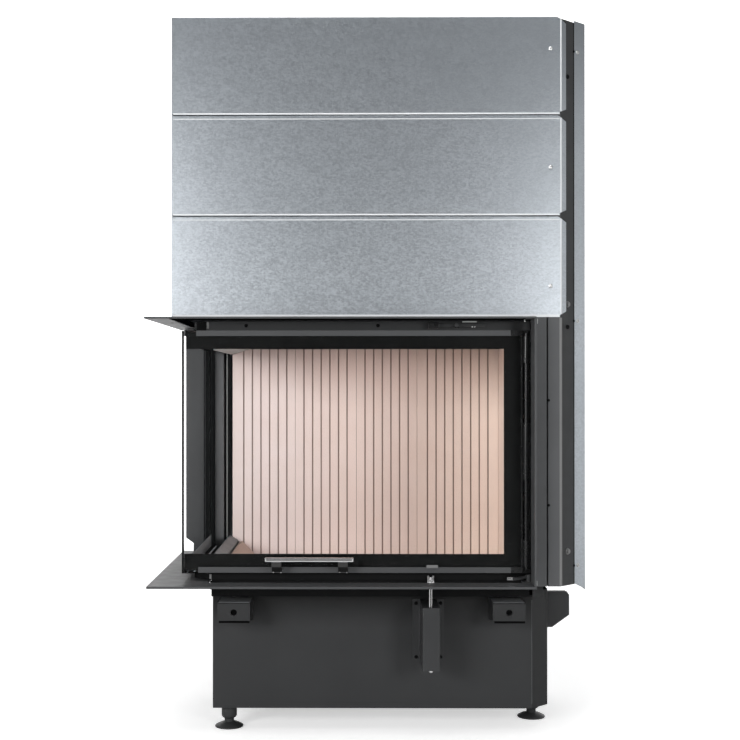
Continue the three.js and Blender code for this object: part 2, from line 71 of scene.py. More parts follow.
# The stage, in metres.
FLOOR_REACH = 30
BACK_WALL = (5, 3, 3)  # half its width, distance behind the origin, height
SIDE_WALL = (2.6, -1.2, 2)  # distance to the side, front end, height
SOFTBOXES = {  # centre, point aimed at, size, watts
    "left_box": ((-2.0, -3.1, 1.15), (0, 0, 0.6), (1.4, 1.0), 78),
    "right_box": ((1.7, -3.2, 1.05), (0, 0, 0.6), (0.8, 0.9), 40),
    "top_box": ((0, -1.4, 3.0), (0, 0, 0.4), (2.0, 1.2), 36),
}


def make_camera():
    lens = bpy.data.cameras.new("camera")
    lens.sensor_width = SENSOR
    lens.lens = FOCAL * SENSOR / FRAME_WIDTH
    lens.shift_x, lens.shift_y = (c / FRAME_WIDTH for c in OFF_CENTRE)
    lens.clip_end = 60
    camera = bpy.data.objects.new("camera", lens)
    turns = [(YAW, "Z"), (PITCH, "X"), (ROLL, "Y"), (90, "X")]
    turn = Matrix.Identity(4)
    for angle, axis in turns:
        turn = turn @ Matrix.Rotation(math.radians(angle), 4, axis)
    camera.matrix_world = Matrix.Translation(EYE * MM) @ turn
    bpy.context.collection.objects.link(camera)
    bpy.context.scene.camera = camera


def make_softbox(name, centre, aim, size, watts):
    lamp = bpy.data.lights.new(name, "AREA")
    lamp.shape = "RECTANGLE"
    lamp.size, lamp.size_y = size
    lamp.energy = watts
    light = bpy.data.objects.new(name, lamp)
    light.location = centre
    light.rotation_euler = (Vector(aim) - Vector(centre)).to_track_quat("-Z", "Y").to_euler()
    bpy.context.collection.objects.link(light)


def make_studio():
    world = bpy.data.worlds.new("studio")
    world.use_nodes = True
    tree = world.node_tree
    room = tree.nodes["Background"]
    room.inputs["Color"].default_value = (0.97, 0.98, 1, 1)
    room.inputs["Strength"].default_value = ROOM_LIGHT
    paper = tree.nodes.new("ShaderNodeBackground")
    paper.inputs["Color"].default_value = (1, 1, 1, 1)
    seen = tree.nodes.new("ShaderNodeLightPath")
    both = tree.nodes.new("ShaderNodeMixShader")
    tree.links.new(seen.outputs["Is Camera Ray"], both.inputs[0])
    tree.links.new(room.outputs[0], both.inputs[1])
    tree.links.new(paper.outputs[0], both.inputs[2])
    tree.links.new(both.outputs[0], tree.nodes["World Output"].inputs[0])
    bpy.context.scene.world = world
    bpy.context.scene.view_settings.view_transform = "Standard"
    for name, box in SOFTBOXES.items():
        make_softbox(name, *box)
    r = FLOOR_REACH
    glowing_sheet("floor", [(-r, -r, 0), (r, -r, 0), (r, r, 0), (-r, r, 0)], FLOOR_GLOW)
    half, back, top = BACK_WALL
    corners = [(-half, back, 0), (half, back, 0), (half, back, top), (-half, back, top)]
    glowing_sheet("wall", corners, WALL_GLOW)
    away, front, top = SIDE_WALL
    for side, x in (("left", -away), ("right", away)):
        corners = [(x, front, 0), (x, back, 0), (x, back, top), (x, front, top)]
        glowing_sheet("wall_" + side, corners, SIDE_GLOW)


def glowing_sheet(name, corners, glow):
    """White paper that glows.

    The floor glows for the camera alone, the walls for everything. The camera sees through the side walls
    from anywhere, and through the back wall from behind.
    """
    mesh = bpy.data.meshes.new(name)
    mesh.from_pydata(corners, [], [(0, 1, 2, 3)])
    sheet = bpy.data.objects.new(name, mesh)
    bpy.context.collection.objects.link(sheet)
    paper = bpy.data.materials.new(name + "_paper")
    paper.use_nodes = True
    tree = paper.node_tree
    shader = tree.nodes["Principled BSDF"]
    shader.inputs["Base Color"].default_value = (0.9, 0.9, 0.9, 1)
    shader.inputs["Roughness"].default_value = 0.85
    shader.inputs["Specular IOR Level"].default_value = 0.1
    shader.inputs["Emission Color"].default_value = (1, 1, 1, 1)
    shader.inputs["Emission Strength"].default_value = glow
    seen = tree.nodes.new("ShaderNodeLightPath")
    strength = tree.nodes.new("ShaderNodeMath")
    strength.operation = "MULTIPLY"
    if name == "floor":
        strength.inputs[1].default_value = glow
        tree.links.new(seen.outputs["Is Camera Ray"], strength.inputs[0])
        tree.links.new(strength.outputs[0], shader.inputs["Emission Strength"])
    else:
        clear = tree.nodes.new("ShaderNodeBsdfTransparent")
        both = tree.nodes.new("ShaderNodeMixShader")
        if name == "wall":
            face = tree.nodes.new("ShaderNodeNewGeometry")
            tree.links.new(face.outputs["Backfacing"], strength.inputs[1])
        else:
            strength.inputs[1].default_value = 1
        tree.links.new(seen.outputs["Is Camera Ray"], strength.inputs[0])
        tree.links.new(strength.outputs[0], both.inputs[0])
        tree.links.new(shader.outputs[0], both.inputs[1])
        tree.links.new(clear.outputs[0], both.inputs[2])
        tree.links.new(both.outputs[0], tree.nodes["Material Output"].inputs["Surface"])
    mesh.materials.append(paper)


# ---- materials ------------------------------------------------------------------------------
class Finish:
    """A material under construction: its shader and short ways to feed it."""

    def __init__(self, name, roughness=0.5, metallic=0.0, **sockets):
        self.material = bpy.data.materials.new(name)
        self.material.use_nodes = True
        self.tree = self.material.node_tree
        self.shader = self.tree.nodes["Principled BSDF"]
        self.shader.inputs["Metallic"].default_value = metallic
        self.shader.inputs["Roughness"].default_value = roughness
        for socket, value in sockets.items():
            self.shader.inputs[socket.replace("_", " ")].default_value = value
        self.coordinates = self.tree.nodes.new("ShaderNodeTexCoord").outputs
        self.place = self.coordinates["Object"]

    def node(self, kind, **settings):
        made = self.tree.nodes.new("ShaderNode" + kind)
        for key, value in settings.items():
            setattr(made, key, value)
        return made

    def link(self, source, target):
        self.tree.links.new(source, target)

    def stretched(self, scale):
        mapping = self.node("Mapping")
        mapping.inputs["Scale"].default_value = scale
        self.link(self.place, mapping.inputs["Vector"])
        return mapping.outputs["Vector"]

    def noise(self, scale, detail=3.0, roughness=0.55, stretch=(1, 1, 1)):
        made = self.node("TexNoise")
        made.inputs["Scale"].default_value = scale
        made.inputs["Detail"].default_value = detail
        made.inputs["Roughness"].default_value = roughness
        self.link(self.stretched(stretch), made.inputs["Vector"])
        return made.outputs["Fac"]

    def cells(self, scale, stretch=(1, 1, 1)):
        made = self.node("TexVoronoi")
        made.inputs["Scale"].default_value = scale
        self.link(self.stretched(stretch), made.inputs["Vector"])
        grey = self.node("SeparateColor")
        self.link(made.outputs["Color"], grey.inputs["Color"])
        return grey.outputs["Red"]

    def ranged(self, source, low, high, new_low, new_high):
        made = self.node("MapRange")
        ends = {"From Min": low, "From Max": high, "To Min": new_low, "To Max": new_high}
        for socket, value in ends.items():
            made.inputs[socket].default_value = value
        self.link(source, made.inputs["Value"])
        return made.outputs["Result"]

    def mixed(self, factor, first, second):
        """Between two colours, each a tuple or a node's output."""
        made = self.node("Mix", data_type="RGBA")
        self.link(factor, made.inputs[0])
        for socket, value in ((made.inputs[6], first), (made.inputs[7], second)):
            if isinstance(value, tuple):
                socket.default_value = (*value, 1)
            else:
                self.link(value, socket)
        return made.outputs[2]

    def coordinate(self, axis):
        made = self.node("SeparateXYZ")
        self.link(self.place, made.inputs["Vector"])
        return made.outputs[axis]

    def on_chamfers(self):
        """One on upright faces that look half to the side, else nought."""
        made, both = self.node("SeparateXYZ"), self.node("Math", operation="MULTIPLY")
        self.link(self.coordinates["Normal"], made.inputs["Vector"])
        self.link(made.outputs["X"], both.inputs[0])
        self.link(made.outputs["Y"], both.inputs[1])
        size = self.node("Math", operation="ABSOLUTE")
        self.link(both.outputs[0], size.inputs[0])
        return self.ranged(size.outputs[0], 0.42, 0.46, 0, 1)

    def color(self, source):
        self.link(source, self.shader.inputs["Base Color"])

    def roughness(self, source):
        self.link(source, self.shader.inputs["Roughness"])

    def bump(self, source, height, strength):
        made = self.node("Bump")
        made.inputs["Distance"].default_value = height * MM
        made.inputs["Strength"].default_value = strength
        self.link(source, made.inputs["Height"])
        self.link(made.outputs["Normal"], self.shader.inputs["Normal"])


def shade(level, tint=(1, 1, 1)):
    return tuple(level * c for c in tint)


def painted_steel(name, level, tint=(0.97, 1.0, 1.04), gloss=0.46, shine=0.25, slant=1, flange_shadow=None):
    """Heat-resistant paint: fine grain, cloudy tone and rubbed streaks.

    Painted shade: chamfers, which face away from the lamps, are coloured slant times as light. Painted
    shadow: fade is the height where the tone starts to sink into the shadow under a flange and the one where
    it is a tenth.
    """
    f = Finish(name, gloss, Specular_IOR_Level=shine)
    cloud = f.ranged(f.noise(6, 4), 0.3, 0.7, 0, 1)
    tone = f.mixed(cloud, shade(level * 0.92, tint), shade(level * 1.08, tint))
    streak = f.ranged(f.noise(9, 5, 0.6, (14, 14, 1)), 0.64, 0.8, 0, 0.2)
    rubbed = f.mixed(streak, tone, shade(level * 1.5 + 0.004, tint))
    # Painted shadow: from here on rubbed also holds a tone that sinks towards the top, for the shade under a
    # flange.
    if flange_shadow:
        shadow_rise = f.ranged(f.coordinate("Z"), flange_shadow[0] * MM, flange_shadow[1] * MM, 0, 1)
        rubbed = f.mixed(shadow_rise, rubbed, shade(level * 0.1, tint))
    # Painted shade: the chamfers are coloured darker, as they face away from the lamps.
    if slant < 1:
        rubbed = f.mixed(f.on_chamfers(), rubbed, shade(level * slant, tint))
    f.color(rubbed)
    f.roughness(f.ranged(f.noise(38, 4), 0.3, 0.7, gloss - 0.03, gloss + 0.06))
    f.bump(f.noise(950, 2, 0.6), 0.06, 0.6)
    return f.material


def galvanised_sheet(name, low=0.415, high=0.53):
    """Zinc on sheet steel: small crystals and cloudy patches, and painted shade that darkens it towards the
    top.
    """
    f = Finish(name, 0.4, 0.85)
    crystal = f.cells(260, (1, 1, 1.6))
    grain = f.cells(620, (1, 1, 2))
    tone = f.mixed(crystal, shade(low, (0.93, 1, 1.07)), shade(high, (0.93, 1, 1.07)))
    fine = f.mixed(f.ranged(grain, 0, 1, 0, 0.25), tone, shade(high * 1.2, (0.95, 1, 1.05)))
    cloud = f.ranged(f.noise(5, 4, 0.6, (1, 1, 1.8)), 0.35, 0.7, 0, 0.3)
    clouded = f.mixed(cloud, fine, shade(low * 0.95, (0.92, 1, 1.08)))
    # Painted shade: darker towards the top, where the sheets reflect less light.
    height = f.ranged(f.coordinate("Z"), 0.85, 1.4, 0, 0.75)
    f.color(f.mixed(height, clouded, shade(low * 0.66, (0.92, 1, 1.08))))
    f.roughness(f.ranged(crystal, 0, 1, 0.31, 0.37))
    f.bump(f.noise(420, 3, 0.6), 0.05, 0.5)
    return f.material


def fired_clay(name, left, middle, right, deep=None):
    """Pressed fireclay: a drift of tone along x, partly the clay's own and partly painted light that lightens
    both ends, sandy grain and painted shade at the top.

    Where deep is given, what lies further back than that y, the inside of a groove, gets painted shade.
    """
    f = Finish(name, 0.9)
    x = f.coordinate("X")
    # The drift along x: partly the clay's own tone, partly painted light at both ends.
    tone = f.mixed(f.ranged(x, -0.32, -0.02, 0, 1), left, middle)
    tone = f.mixed(f.ranged(x, 0.05, 0.28, 0, 1), tone, right)
    cloud = f.ranged(f.noise(7, 5, 0.6), 0.3, 0.75, 0, 0.35)
    clouded = f.mixed(cloud, tone, tuple(c * s for c, s in zip(middle, (0.9, 0.84, 0.78))))
    speck = f.ranged(f.noise(700, 2, 0.7), 0.66, 0.8, 0, 0.5)
    sandy = f.mixed(speck, clouded, tuple(c * 0.62 for c in middle))
    # Painted shade at the top, under the lintel; sandy holds it from here on.
    sandy = f.mixed(f.ranged(f.coordinate("Z"), 0.69, 0.79, 0, 0.3), sandy, (0.45, 0.27, 0.21))
    # Painted shade inside the grooves.
    if deep is not None:
        inside = f.ranged(f.coordinate("Y"), (deep + 0.4) * MM, (deep + 1.6) * MM, 0, 0.72)
        sandy = f.mixed(inside, sandy, (0.16, 0.085, 0.06))
    f.color(sandy)
    f.bump(f.noise(600, 4, 0.7), 0.25, 0.7)
    return f.material


def bright_metal(name, level=0.72, gloss=0.2, stretch=(1, 30, 30)):
    """Brushed stainless steel or zinc-plated hardware."""
    f = Finish(name, gloss, 1.0)
    brushed = f.noise(60, 4, 0.6, stretch)
    f.color(f.mixed(f.ranged(brushed, 0.3, 0.7, 0, 1), shade(level * 0.86), shade(level * 1.06)))
    f.roughness(f.ranged(brushed, 0.3, 0.7, gloss, gloss + 0.14))
    f.bump(brushed, 0.02, 0.4)
    return f.material


def clear_glass(name):
    f = Finish(name, 0.02, 0.0, Alpha=0.02, IOR=1.5)
    f.color(f.mixed(f.ranged(f.noise(3, 2), 0.3, 0.7, 0, 1), (0.02, 0.03, 0.03), (0.03, 0.04, 0.04)))
    f.roughness(f.ranged(f.noise(12, 4), 0.35, 0.75, 0.015, 0.06))
    return f.material


def enamel_print(name):
    """The black ceramic print on the glass."""
    f = Finish(name, 0.3, Specular_IOR_Level=0.08)
    f.color(f.mixed(f.ranged(f.noise(40, 3), 0.3, 0.7, 0, 1), shade(0.004), shade(0.006)))
    f.roughness(f.ranged(f.noise(90, 3), 0.3, 0.7, 0.3, 0.36))
    f.bump(f.noise(1500, 1), 0.01, 0.3)
    return f.material


def two_tone_handle(name, edge):
    """Polished bar above the height given, dark painted brackets below it."""
    f = Finish(name, 0.25, 1.0)
    upper = f.ranged(f.coordinate("Z"), (edge - 0.2) * MM, (edge + 0.2) * MM, 0, 1)
    brushed = f.noise(70, 4, 0.6, (1, 40, 40))
    steel = f.mixed(f.ranged(brushed, 0.3, 0.7, 0, 1), shade(0.62), shade(0.8))
    f.color(f.mixed(upper, shade(0.008), steel))
    f.link(upper, f.shader.inputs["Metallic"])
    f.roughness(f.ranged(upper, 0, 1, 0.5, 0.2))
    f.bump(brushed, 0.02, 0.4)
    return f.material


REAR_LINING_FACE = span("lining_rear_1")[0].y
PAINT = painted_steel("paint_dark", 0.032)
# Painted shade on the chamfer and painted shadow at the top, under the flange.
BASE_PAINT = painted_steel("paint_base", 0.027, slant=0.5, flange_shadow=(210, 278))
# Painted shade on the chamfers.
STRIP_PAINT = painted_steel("paint_column", 0.075, gloss=0.5, slant=0.4)
SHADED_PAINT = painted_steel("paint_shaded", 0.019)
# Painted highlight on rounded bends and corners; also the catch plate's pale paint.
PALE_AND_HIGHLIGHT_PAINT = painted_steel("paint_pale_and_highlight", 0.16, (1, 1, 1), 0.4)
# Painted light for the brackets' shaded upper faces.
CAP_LIGHT_PAINT = painted_steel("paint_cap_light", 0.2)
TRIM_PAINT = painted_steel("paint_trim", 0.055, gloss=0.42)
BEAM_PAINT = painted_steel("paint_beam", 0.03)
STILE_PAINT = painted_steel("paint_stile", 0.1, gloss=0.4)
EDGE_RAIL_PAINT = painted_steel("paint_edge_rail", 0.16, (0.86, 1, 1.1), 0.4)
SIDE_PAINT = painted_steel("paint_side", 0.3, (0.9, 1, 1.06), 0.4)
# Painted highlight for bright edges.
LINE_HIGHLIGHT_PAINT = painted_steel("paint_line_highlight", 0.85, (0.9, 1, 1.08), 0.4)
# Painted highlight on the zinc sheets' folded edges.
ZINC_EDGE_HIGHLIGHT = painted_steel("zinc_edge_highlight", 0.58, (0.97, 1, 1.02), 0.4)
RAIL_PAINT = painted_steel("paint_rails", 0.06, gloss=0.4)
BLACK_PAINT = painted_steel("paint_black", 0.006, gloss=0.6, shine=0.05)
# Painted shade: black for gaps, holes and the undersides of folds and plates.
GAP_SHADE = painted_steel("paint_gap_shade", 0.003, gloss=0.9, shine=0)
GLOSS_BLACK = painted_steel("paint_gloss_black", 0.008, gloss=0.25, shine=0.3)
ZINC = galvanised_sheet("zinc_sheet")
# Left, middle and right tone of the clay; the lighter ends are partly painted light.
CLAY_TONES = (0.9, 0.8, 0.79), (0.8, 0.67, 0.62), (0.96, 0.82, 0.73)
CLAY = fired_clay("fireclay", *CLAY_TONES)
GROOVED_CLAY = fired_clay("fireclay_grooved", *CLAY_TONES, deep=REAR_LINING_FACE)
RAMP_CLAY = fired_clay("fireclay_ramp", (0.62, 0.5, 0.44), (0.6, 0.47, 0.4), (0.6, 0.46, 0.38))
STAINLESS = bright_metal("stainless")
BOLT_ZINC = bright_metal("zinc_plated", 0.6, 0.3, (1, 1, 1))
DULL_BOLT = bright_metal("bolt_dull", 0.22, 0.3, (1, 1, 1))
IRON = painted_steel("raw_iron", 0.12, (1.05, 1, 0.95), 0.55)
GLASS = clear_glass("glass_clear")
ENAMEL = enamel_print("glass_print")
HANDLE_STEEL = two_tone_handle("handle_steel", 365.8)
# Painted reflection: a dark band along the handle's polished bar.
HANDLE_REFLECTION_METAL = bright_metal("handle_dark_reflection", 0.16, 0.4)
DULL_SHEET = painted_steel("paint_light", 0.36, (0.98, 1.02, 1))


# ---- the solid parts ------------------------------------------------------------------------
SHARP = math.radians(32)


def shading_by_angle():
    """A node group that smooths the faces and keeps the edges above SHARP hard."""
    group = bpy.data.node_groups.new("smooth_by_angle", "GeometryNodeTree")
    group.interface.new_socket("Geometry", in_out="INPUT", socket_type="NodeSocketGeometry")
    group.interface.new_socket("Geometry", in_out="OUTPUT", socket_type="NodeSocketGeometry")
    make = group.nodes.new
    start, end = make("NodeGroupInput"), make("NodeGroupOutput")
    angle, less = make("GeometryNodeInputMeshEdgeAngle"), make("FunctionNodeCompare")
    less.operation = "LESS_THAN"
    less.inputs[1].default_value = SHARP
    faces, edges = make("GeometryNodeSetShadeSmooth"), make("GeometryNodeSetShadeSmooth")
    edges.domain = "EDGE"
    links = group.links
    links.new(start.outputs[0], faces.inputs["Geometry"])
    links.new(faces.outputs[0], edges.inputs["Geometry"])
    links.new(angle.outputs[0], less.inputs[0])
    links.new(less.outputs[0], edges.inputs["Shade Smooth"])
    links.new(edges.outputs[0], end.inputs[0])
    return group


SMOOTHING = shading_by_angle()


def soften(piece, width, weld=False):
    """Rounds a piece's edges and smooths its shading, without touching its mesh."""
    if weld:
        piece.modifiers.new("weld", "WELD").merge_threshold = 0.00001
    if width:
        bevel = piece.modifiers.new("bevel", "BEVEL")
        bevel.width = width * MM
        bevel.segments = 2
        bevel.limit_method = "ANGLE"
        bevel.angle_limit = SHARP
        bevel.use_clamp_overlap = True
    piece.modifiers.new("shading", "NODES").node_group = SMOOTHING
    flat = piece.modifiers.new("flat", "WEIGHTED_NORMAL")
    flat.weight = 100
    flat.keep_sharp = True


def dress(names, material, edge):
    for name in names.split():
        node = nodes[name]
        node.material_slots[0].material = material
        soften(node, edge, weld=True)


def dress_nodes():
    dress("base_front base_left base_right base_rear", BASE_PAINT, 0.8)
    dress("bracket_left bracket_right", SHADED_PAINT, 0.7)
    dress("side_bracket damper_housing", PAINT, 0.7)
    # Painted shade: the tray, under the flange, is black.
    dress("firebox_tray", BLACK_PAINT, 0.8)
    dress("firebox_right firebox_rear lintel_front lintel_left firebox_roof", PAINT, 0.8)
    dress("trim_lower trim_upper trim_right trim_rear", TRIM_PAINT, 0.7)
    dress("column_right column_rear", STRIP_PAINT, 0.5)
    dress("side_cover_right side_cover_rear cover_left", ZINC, 0.3)
    dress("cover_front_1 cover_front_2 cover_front_3", ZINC, 0.3)
    dress("lining_rear_1 lining_rear_2 lining_rear_3 lining_rear_4", GROOVED_CLAY, 0.5)
    dress("lining_right hearth baffle", CLAY, 1.2)
    dress("ramp_front ramp_left", RAMP_CLAY, 1.2)
    dress("edge_rail_front edge_rail_left", EDGE_RAIL_PAINT, 0.4)
    dress("frame_beam_upper", BEAM_PAINT, 0.6)
    # Painted shade: the lower beam, under the trim plate, is black.
    dress("frame_beam_lower", BLACK_PAINT, 0.6)
    dress("rear_stile", STILE_PAINT, 0.6)
    dress("door_rail_upper door_rail_lower", RAIL_PAINT, 0.4)
    dress("hinge_post hinge_stile", GLOSS_BLACK, 0.5)
    dress("front_glass side_glass", GLASS, 0.4)
    dress("handle", HANDLE_STEEL, 0.8)
    dress("lock_bar air_lever", PAINT, 0.5)
    dress("damper_rod rope_right rope_rear", STAINLESS, 0.3)
    dress("pulley_right pulley_rear counterweight_right counterweight_rear", IRON, 0.8)
    dress("foot_front_left foot_front_right foot_rear_left foot_rear_right", PAINT, 0.6)


# ---- building detail pieces -----------------------------------------------------------------
def piece(name, verts, faces, material, body, slot, edge=0.0):
    """A mesh of the scene's own."""
    mesh = bpy.data.meshes.new(name)
    mesh.from_pydata([tuple(c * MM for c in v) for v in verts], [], faces)
    mesh.validate()
    made = bpy.data.objects.new(name, mesh)
    bpy.context.collection.objects.link(made)
    mesh.materials.append(material)
    soften(made, edge)
    if body:
        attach(made, body)
    return made


def joined(parts):
    """Several (verts, faces) as one."""
    verts, faces = [], []
    for v, f in parts:
        faces += [tuple(i + len(verts) for i in face) for face in f]
        verts += [tuple(p) for p in v]
    return verts, faces


def block(low, high):
    xs, ys, zs = zip(low, high)
    verts = [(x, y, z) for z in zs for y in ys for x in xs]
    faces = [(0, 2, 3, 1), (4, 5, 7, 6), (0, 1, 5, 4), (2, 6, 7, 3), (0, 4, 6, 2), (1, 3, 7, 5)]
    return verts, faces


def ringed(rings):
    """A closed solid through rings of equally many points, capped at both ends."""
    n = len(rings[0])
    verts = [p for ring in rings for p in ring]
    faces = [
        (k * n + i, k * n + (i + 1) % n, (k + 1) * n + (i + 1) % n, (k + 1) * n + i)
        for k in range(len(rings) - 1)
        for i in range(n)
    ]
    last = (len(rings) - 1) * n
    faces.append(tuple(reversed(range(n))))
    faces.append(tuple(range(last, last + n)))
    return verts, faces


def facing(place, normal, shape):
    """Moves a shape made about +z so that it stands on place and looks along normal."""
    turn = Vector(normal).to_track_quat("Z", "Y").to_matrix()
    verts, faces = shape
    return [tuple(Vector(place) + turn @ Vector(v)) for v in verts], faces


def lathe(profile, sides=24, corners=None):
    """Rings of radius and height about +z. Where corners holds an index, that ring has six sides."""
    rings = []
    for k, (radius, height) in enumerate(profile):
        ring = []
        for i in range(sides):
            angle = 2 * math.pi * i / sides
            r = radius
            if corners and k in corners:
                r = radius * math.cos(math.pi / 6) / math.cos((angle % (math.pi / 3)) - math.pi / 6)
            ring.append((r * math.cos(angle), r * math.sin(angle), height))
        rings.append(ring)
    return ringed(rings)


def pan_head(r):
    """A domed screw head with a six-sided socket."""
    profile = [(r, -0.6), (r, 0.25 * r), (0.86 * r, 0.55 * r), (0.6 * r, 0.68 * r), (0.46 * r, 0.7 * r)]
    profile += [(0.42 * r, 0.66 * r), (0.4 * r, 0.2 * r), (0.05 * r, 0.16 * r)]
    return lathe(profile, 24, {5, 6})


def hex_head(r, washer=1.5):
    """A bolt head on its washer."""
    flat = lathe([(r * washer, -0.6), (r * washer, 1.0), (r * washer - 0.4, 1.3), (r * 0.8, 1.3)], 30)
    profile = [(r, 0.9), (r, 0.75 * r), (0.93 * r, 0.86 * r), (0.72 * r, 0.95 * r), (0.1, 0.95 * r)]
    return joined([flat, lathe(profile, 24, {0, 1})])


def tube(points, r, sides=12):
    """A round bar along points."""
    path = [Vector(p) for p in points]
    rings = []
    for i, p in enumerate(path):
        ahead = path[min(i + 1, len(path) - 1)] - path[max(i - 1, 0)]
        side = ahead.cross(Vector((0.31, 0.17, 0.93))).normalized()
        other = ahead.cross(side).normalized()
        rings.append([
            tuple(p + r * (math.cos(a) * side + math.sin(a) * other))
            for a in (2 * math.pi * k / sides for k in range(sides))
        ])
    return ringed(rings)


def disc(radius, height):
    """A flat round plate with a broken edge."""
    return lathe([(radius, -0.1), (radius, height - 0.2), (radius - 0.2, height)], 20)


def prism(outline, z0, z1):
    """An upright bar whose section is outline, in x and y."""
    return ringed([[(x, y, z) for x, y in outline] for z in (z0, z1)])


def fasteners(name, shape, places, material, body, slot):
    """Equal fasteners as one piece. Each place is a point and a normal."""
    piece(name, *joined([facing(p, n, shape) for p, n in places]), material, body, slot)


FRONT = (0, -1, 0)
SLANT = (1, -1, 0)
DOWN = (0, 0, -1)
UP = (0, 0, 1)

COVER_PLANE_X = span("cover_left")[0].x
COVER_PLANE_Y = span("cover_front_1")[0].y
GLASS_LOW, GLASS_HIGH = span("front_glass")
SIDE_LOW, SIDE_HIGH = span("side_glass")


def to_rear(point):
    """The rear column's place for a point of the right one, which it mirrors about the glass corner."""
    x, y, z = point
    return (COVER_PLANE_X + (y - COVER_PLANE_Y), SIDE_HIGH.y - 1 + (x - GLASS_HIGH.x), z)


def both_sides(places):
    """Each place and normal with its mirror image on the rear column."""
    out = []
    for point, (nx, ny, nz) in places:
        out += [(point, (nx, ny, nz)), (to_rear(point), (ny, nx, nz))]
    return out


# ---- fasteners ------------------------------------------------------------------------------
# Heights of the screws and bolts, from the top down.
COVER_SCREWS = (1364, 1133, 901.5)
SIDE_COVER_SCREWS = (1367, 835.3, 352.6)
COLUMN_SCREWS = (1313.5, 822.4)
COLUMN_BOLTS = (866.9, 382.5)
STRIP_SCREWS = (678.8, 474.4)
PLATED = (BOLT_ZINC, "insert", "stainless")
BLACKENED = (BLACK_PAINT, "insert", "steel")


def add_fasteners():
    column_low, column_high = span("column_right")
    edge_low, edge_high = span("side_cover_right")

    def on_chamfer(z):
        return ((column_high.x - 15.5, column_low.y + 16.2, z), SLANT)

    def on_edge(z):
        return ((edge_high.x - 18.6, edge_low.y + 6.4, z), SLANT)

    panel = [((column_high.x - 51, COVER_PLANE_Y, z), FRONT) for z in COVER_SCREWS]
    fasteners("screws_cover", pan_head(4.2), both_sides(panel), *PLATED)
    edge = [on_edge(z) for z in SIDE_COVER_SCREWS]
    fasteners("screws_side_cover", pan_head(4.2), both_sides(edge), *PLATED)
    screws = [on_chamfer(z) for z in COLUMN_SCREWS]
    fasteners("screws_column", pan_head(4.6), both_sides(screws), *BLACKENED)
    bolts = [on_chamfer(z) for z in COLUMN_BOLTS]
    fasteners("bolts_column", hex_head(4.6, 1.35), both_sides(bolts), DULL_BOLT, "insert", "stainless")
    shades = [((405, -244.2, z), SLANT) for z in SIDE_COVER_SCREWS]
    fasteners("screw_shades", disc(2.6, 0.8), both_sides(shades), GAP_SHADE, "insert", "steel")
    strip = [((column_low.x + 25.6, column_low.y, z), FRONT) for z in STRIP_SCREWS]
    fasteners("screws_strip", pan_head(2.6), both_sides(strip), *BLACKENED)


def add_damper_screws():
    """One in each corner of the housing's flanges."""
    low, high = span("damper_housing")
    flange = high.y - 4
    corners = [(x, z) for x in (low.x + 7, high.x - 7) for z in (low.z + 6, high.z - 8)]
    fasteners("screws_damper", pan_head(3.4), [((x, flange, z), FRONT) for x, z in corners], *BLACKENED)


# ---- glass ----------------------------------------------------------------------------------
PRINT = 0.3  # thickness of the black print
FRONT_CLEAR_Z = (376.4, 779.8)  # lower and upper edge of the front pane's clear part
FRONT_CLEAR_RIGHT = 265.7
SIDE_CLEAR_Z = (364.2, 786)
SIDE_BAND = 30  # width of the side pane's rear band


def add_prints():
    back = GLASS_HIGH.y + 0.05
    right = GLASS_HIGH.x - 0.2
    low, high = FRONT_CLEAR_Z
    bands = [
        block((GLASS_LOW.x + 0.4, back, GLASS_LOW.z + 0.3), (right, back + PRINT, low)),
        block((GLASS_LOW.x + 3.8, back, high), (right, back + PRINT, GLASS_HIGH.z - 0.3)),
        block((FRONT_CLEAR_RIGHT, back, low), (right, back + PRINT, high)),
    ]
    piece("front_print", *joined(bands), ENAMEL, "door_leaf", "glass")
    inner = SIDE_HIGH.x + 0.05
    rear = SIDE_HIGH.y - 0.2
    low, high = SIDE_CLEAR_Z
    sides = [
        block((inner, SIDE_LOW.y + 3, SIDE_LOW.z + 0.3), (inner + PRINT, rear, low)),
        block((inner, SIDE_LOW.y + 3, high), (inner + PRINT, rear, SIDE_HIGH.z - 0.3)),
        block((inner, SIDE_HIGH.y - SIDE_BAND, low), (inner + PRINT, rear, high)),
    ]
    piece("side_print", *joined(sides), ENAMEL, "door_frame", "glass")


# ---- the door's small parts -----------------------------------------------------------------
BEAM_BOLTS_X = (-242.4, 18.6)
HANDLE_SCREWS_X = (-187.2, -172.3, -57.1, -43.1)
RAIL_END_Z = ((805, 816), (339.6, 351.4))


def add_door_trim():
    """Seal and channel of the side glass with a painted highlight on its lip,
    then painted highlights on the beams' rounded corners and the beams' bolts.
    """
    steel = ("door_frame", "beam_steel")
    corner = block((-367.9, -256, 338), (-364.1, -250, 815.5))
    piece("corner_seal", *corner, BLACK_PAINT, *steel, 0.3)
    inside = SIDE_HIGH.x + 0.4
    channel = block((inside, -240, 337), (inside + 1, 192, 364))
    piece("side_channel", *channel, SIDE_PAINT, *steel, 0.2)
    # Painted highlight: the bright edge of the lip.
    strip = block((-348.6, -224, 336.7), (-345, 192, 337.9))
    piece("side_strip", *strip, LINE_HIGHLIGHT_PAINT, *steel, 0.2)
    beam = span("frame_beam_upper")[0].y
    # Painted highlights on the rounded corners at the beams' left ends.
    corner_highlights = [
        block((-320.4, beam - 1, 820.5), (-315.7, beam + 0.2, 833.5)),
        block((-315, beam - 1, 325), (-311, beam + 0.2, 334.5)),
    ]
    piece("beam_corner_highlights", *joined(corner_highlights), PALE_AND_HIGHLIGHT_PAINT, *steel, 0.3)
    bolts = [((x, beam, 826.4), FRONT) for x in BEAM_BOLTS_X]
    fasteners("bolts_beam", pan_head(3.5), bolts, BLACK_PAINT, *steel)


